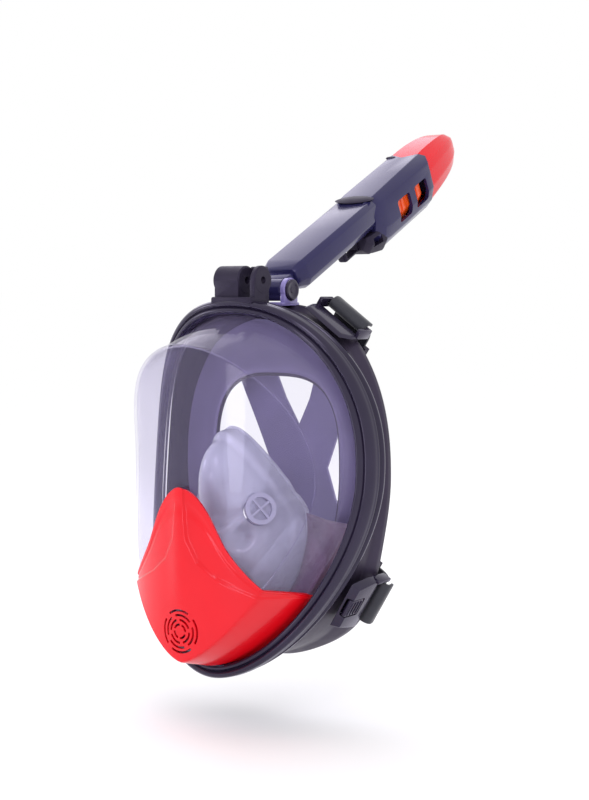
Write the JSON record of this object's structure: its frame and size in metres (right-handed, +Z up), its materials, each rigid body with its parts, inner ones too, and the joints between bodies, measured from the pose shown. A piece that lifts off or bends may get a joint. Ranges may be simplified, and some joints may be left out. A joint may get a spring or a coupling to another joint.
{
  "type": "full face snorkel mask",
  "caption": "Full face snorkel mask: bowed clear lens in a black frame, silicone skirt and nose pocket, red chin cover, folding snorkel with float valve, camera bracket and head harness.",
  "frame": {"origin": "middle of the face opening, on the plane of the skirt's rear edge that meets the wearer's face", "axes": "+Z up towards the snorkel, -Y towards the front of the lens, +X the wearer's left; the mask is drawn upright"},
  "size_m": [0.194, 0.3425, 0.3938],
  "materials": {
    "black_gloss": "gloss",
    "black_matte": "satin",
    "clear_lens": "polished, faint violet tint",
    "silicone_black": "matt silicone",
    "silicone_clear": "translucent silicone",
    "red_gloss": "gloss",
    "navy_gloss": "gloss",
    "lilac_gloss": "gloss",
    "orange_float": "gloss",
    "harness_grey": "smooth elastic sheet",
    "steel": "brushed",
    "valve_grey": "gloss"
  },
  "bodies": {
    "mask": {"front_frame": "black_gloss", "rear_frame": "black_gloss", "lens_gasket": "silicone_black", "lens": "clear_lens", "face_skirt": "silicone_black", "orinasal_pocket": "silicone_clear", "exhaust_duct": "silicone_clear", "inhale_valve_seat_left": "valve_grey", "inhale_valve_seat_right": "valve_grey", "exhaust_valve_seat": "valve_grey", "chin_cover": "red_gloss", "snorkel_socket": "lilac_gloss", "socket_lock_ring": "black_matte", "hinge_pin": "steel", "hinge_cap_left": "black_gloss", "hinge_cap_right": "black_gloss", "camera_bracket": "black_gloss", "camera_nut": "steel", "head_harness": "harness_grey", "strap_lug_upper_left": "black_gloss", "strap_upper_left": "harness_grey", "strap_slider_upper_left": "black_matte", "strap_lug_upper_right": "black_gloss", "strap_upper_right": "harness_grey", "strap_slider_upper_right": "black_matte", "strap_lug_lower_left": "black_gloss", "strap_lower_left": "harness_grey", "strap_slider_lower_left": "black_matte", "strap_lug_lower_right": "black_gloss", "strap_lower_right": "harness_grey", "strap_slider_lower_right": "black_matte"},
    "snorkel": {"snorkel_tube": "navy_gloss", "tube_divider": "navy_gloss", "float_housing": "navy_gloss", "float_seat": "black_matte", "top_cap": "red_gloss", "lower_cage": "black_matte", "cage_clip": "black_matte"},
    "float": {"float": "orange_float", "float_seal": "silicone_black"},
    "exhaust_disc": {"exhaust_valve_disc": "silicone_black"},
    "inhale_disc_left": {"inhale_valve_disc_left": "silicone_clear"},
    "inhale_disc_right": {"inhale_valve_disc_right": "silicone_clear"},
    "release_button_left": {"release_button_lower_left": "black_gloss"},
    "release_button_right": {"release_button_lower_right": "black_gloss"}
  },
  "joints": [
    {"name": "snorkel_fold", "type": "hinge", "parent": "mask", "child": "snorkel", "pos_m": [0, -0.014, 0.129], "axis": [1, 0, 0], "range_deg": [-30, 0]},
    {"name": "float_rise", "type": "slide", "parent": "snorkel", "child": "float", "axis": [0, 0.887, 0.4617], "range_m": [0, 0.008]},
    {"name": "exhaust_disc_lift", "type": "slide", "parent": "mask", "child": "exhaust_disc", "axis": [0, -1, 0], "range_m": [0, 0.002], "stiffness_N_per_m": 60},
    {"name": "inhale_disc_left_lift", "type": "slide", "parent": "mask", "child": "inhale_disc_left", "axis": [-0.7703, 0.5778, -0.2698], "range_m": [0, 0.002], "stiffness_N_per_m": 60},
    {"name": "inhale_disc_right_lift", "type": "slide", "parent": "mask", "child": "inhale_disc_right", "axis": [0.7703, 0.5778, -0.2698], "range_m": [0, 0.002], "stiffness_N_per_m": 60},
    {"name": "release_left_press", "type": "slide", "parent": "mask", "child": "release_button_left", "axis": [-0.8572, 0, 0.515], "range_m": [0, 0.0015], "stiffness_N_per_m": 800},
    {"name": "release_right_press", "type": "slide", "parent": "mask", "child": "release_button_right", "axis": [0.8572, 0, 0.515], "range_m": [0, 0.0015], "stiffness_N_per_m": 800}
  ]
}
